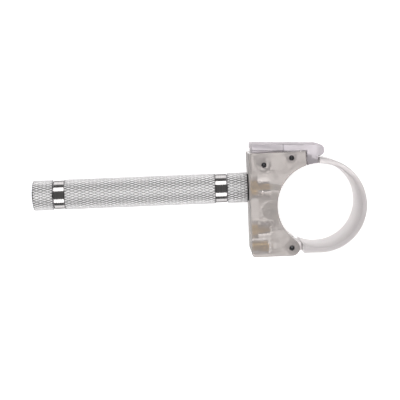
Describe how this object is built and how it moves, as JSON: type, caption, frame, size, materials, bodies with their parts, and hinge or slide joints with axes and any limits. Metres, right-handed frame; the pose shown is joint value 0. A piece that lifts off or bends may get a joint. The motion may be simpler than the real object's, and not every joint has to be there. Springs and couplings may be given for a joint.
{
  "type": "ring clamp glass cutter",
  "caption": "Hand-held ring clamp glass cutter: knurled oil handle, clear plastic head with cutting wheel, hinged strap and sprung latch.",
  "frame": {"origin": "middle of the footprint, on the plane of the head's flat back face", "axes": "+X from the handle's end cap towards the ring and strap, +Y from the strap hinge towards the latch lever, +Z out of the front face along the ring's axis"},
  "size_m": [0.1398, 0.047, 0.032],
  "materials": {
    "shell_plastic": "satin",
    "strap_plastic": "satin",
    "latch_plastic": "satin",
    "brass": "satin",
    "steel": "polished",
    "spring_steel": "satin",
    "carbide": "satin",
    "acetal": "satin",
    "aluminium": "satin",
    "rubber": "matte",
    "felt": "matte"
  },
  "bodies": {
    "head": {"head_front_shell": "shell_plastic", "head_back_shell": "shell_plastic", "handle_insert": "brass", "spare_port_insert": "brass", "accessory_insert": "brass", "hinge_pin": "steel", "latch_pivot_pin": "steel", "spring_post_pin": "steel", "carriage_spring_lower": "spring_steel", "carriage_spring_upper": "spring_steel", "latch_spring": "spring_steel", "coupling_stud": "steel", "handle_barrel": "aluminium", "collar_seal": "rubber", "feed_wick": "felt"},
    "strap": {"strap": "strap_plastic"},
    "latch": {"latch_lever": "latch_plastic"},
    "carriage": {"wheel_carriage": "acetal", "wheel_axle": "steel"},
    "wheel": {"cutting_wheel": "carbide"},
    "collar": {"front_collar": "aluminium"},
    "cap_seal": {"cap_seal": "rubber"},
    "cap": {"end_cap": "aluminium"}
  },
  "joints": [
    {"name": "strap_swing", "type": "hinge", "parent": "head", "child": "strap", "pos_m": [0.03825, -0.0202, 0.016], "axis": [0, 0, -1], "range_deg": [0, 105]},
    {"name": "latch_tilt", "type": "hinge", "parent": "head", "child": "latch", "pos_m": [0.03935, 0.0171, 0.016], "axis": [0, 0, 1], "range_deg": [0, 3.2], "stiffness_Nm_per_rad": 0.15, "springref_deg": -11.46, "deforming": ["latch_spring"]},
    {"name": "carriage_press", "type": "slide", "parent": "head", "child": "carriage", "axis": [-1, 0, 0], "range_m": [0, 0.001], "stiffness_N_per_m": 2000, "springref_m": -0.0012, "deforming": ["carriage_spring_lower", "carriage_spring_upper"]},
    {"name": "wheel_spin", "type": "hinge", "parent": "carriage", "child": "wheel", "pos_m": [0.03065, -0.005, 0.016], "axis": [0, 0, 1], "continuous": true},
    {"name": "collar_turn", "type": "hinge", "parent": "head", "child": "collar", "pos_m": [0.01685, 0.0047, 0.016], "axis": [1, 0, 0], "continuous": true},
    {"name": "cap_advance", "type": "slide", "parent": "head", "child": "cap_seal", "axis": [-1, 0, 0], "range_m": [0, 0.005]},
    {"name": "cap_turn", "type": "hinge", "parent": "cap_seal", "child": "cap", "pos_m": [-0.06465, 0.0047, 0.016], "axis": [-1, 0, 0], "range_deg": [0, 1800]}
  ],
  "couplings": [
    {"joint": "cap_advance", "follows": "cap_turn", "m_per_rad": 0.00015915}
  ]
}
